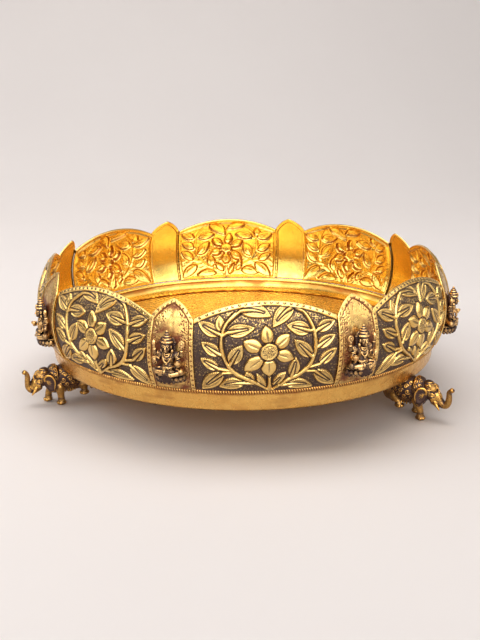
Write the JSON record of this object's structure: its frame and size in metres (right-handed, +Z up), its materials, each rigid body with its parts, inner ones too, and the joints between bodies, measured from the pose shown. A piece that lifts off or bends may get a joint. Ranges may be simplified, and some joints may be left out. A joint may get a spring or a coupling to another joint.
{
  "type": "brass urli bowl",
  "caption": "Wide shallow ornamental bowl with a wall of round and pointed floral panels, seated figures on the pointed ones, and elephant feet.",
  "frame": {"origin": "on the bowl's axis, at the level of the table that the elephants' feet stand on", "axes": "+Z up along the bowl's axis, -Y through the middle of the first wide panel"},
  "size_m": [0.396, 0.4008, 0.1236],
  "materials": {
    "floor_brass": "peened, polished gold-toned brass",
    "band_brass": "satin turned brass with light patina",
    "chased_brass": "polished relief with dark brown patina in the recesses",
    "plaque_brass": "satin brass with reddish-brown patina",
    "antique_brass": "antique cast brass with gold highlights",
    "elephant_brass": "cast brass with dark patina on the saddle cloth"
  },
  "bodies": {
    "root": {"floor_plate": "floor_brass", "base_band": "band_brass", "wide_petal_1": "chased_brass", "wide_petal_2": "chased_brass", "wide_petal_3": "chased_brass", "wide_petal_4": "chased_brass", "wide_petal_5": "chased_brass", "wide_petal_6": "chased_brass", "wide_petal_7": "chased_brass", "wide_petal_8": "chased_brass", "pointed_petal_1": "plaque_brass", "pointed_petal_2": "plaque_brass", "pointed_petal_3": "plaque_brass", "pointed_petal_4": "plaque_brass", "pointed_petal_5": "plaque_brass", "pointed_petal_6": "plaque_brass", "pointed_petal_7": "plaque_brass", "pointed_petal_8": "plaque_brass", "figure_1": "antique_brass", "figure_2": "antique_brass", "figure_3": "antique_brass", "figure_4": "antique_brass", "figure_5": "antique_brass", "figure_6": "antique_brass", "figure_7": "antique_brass", "figure_8": "antique_brass", "elephant_1": "elephant_brass", "elephant_2": "elephant_brass", "elephant_3": "elephant_brass"}
  },
  "joints": []
}
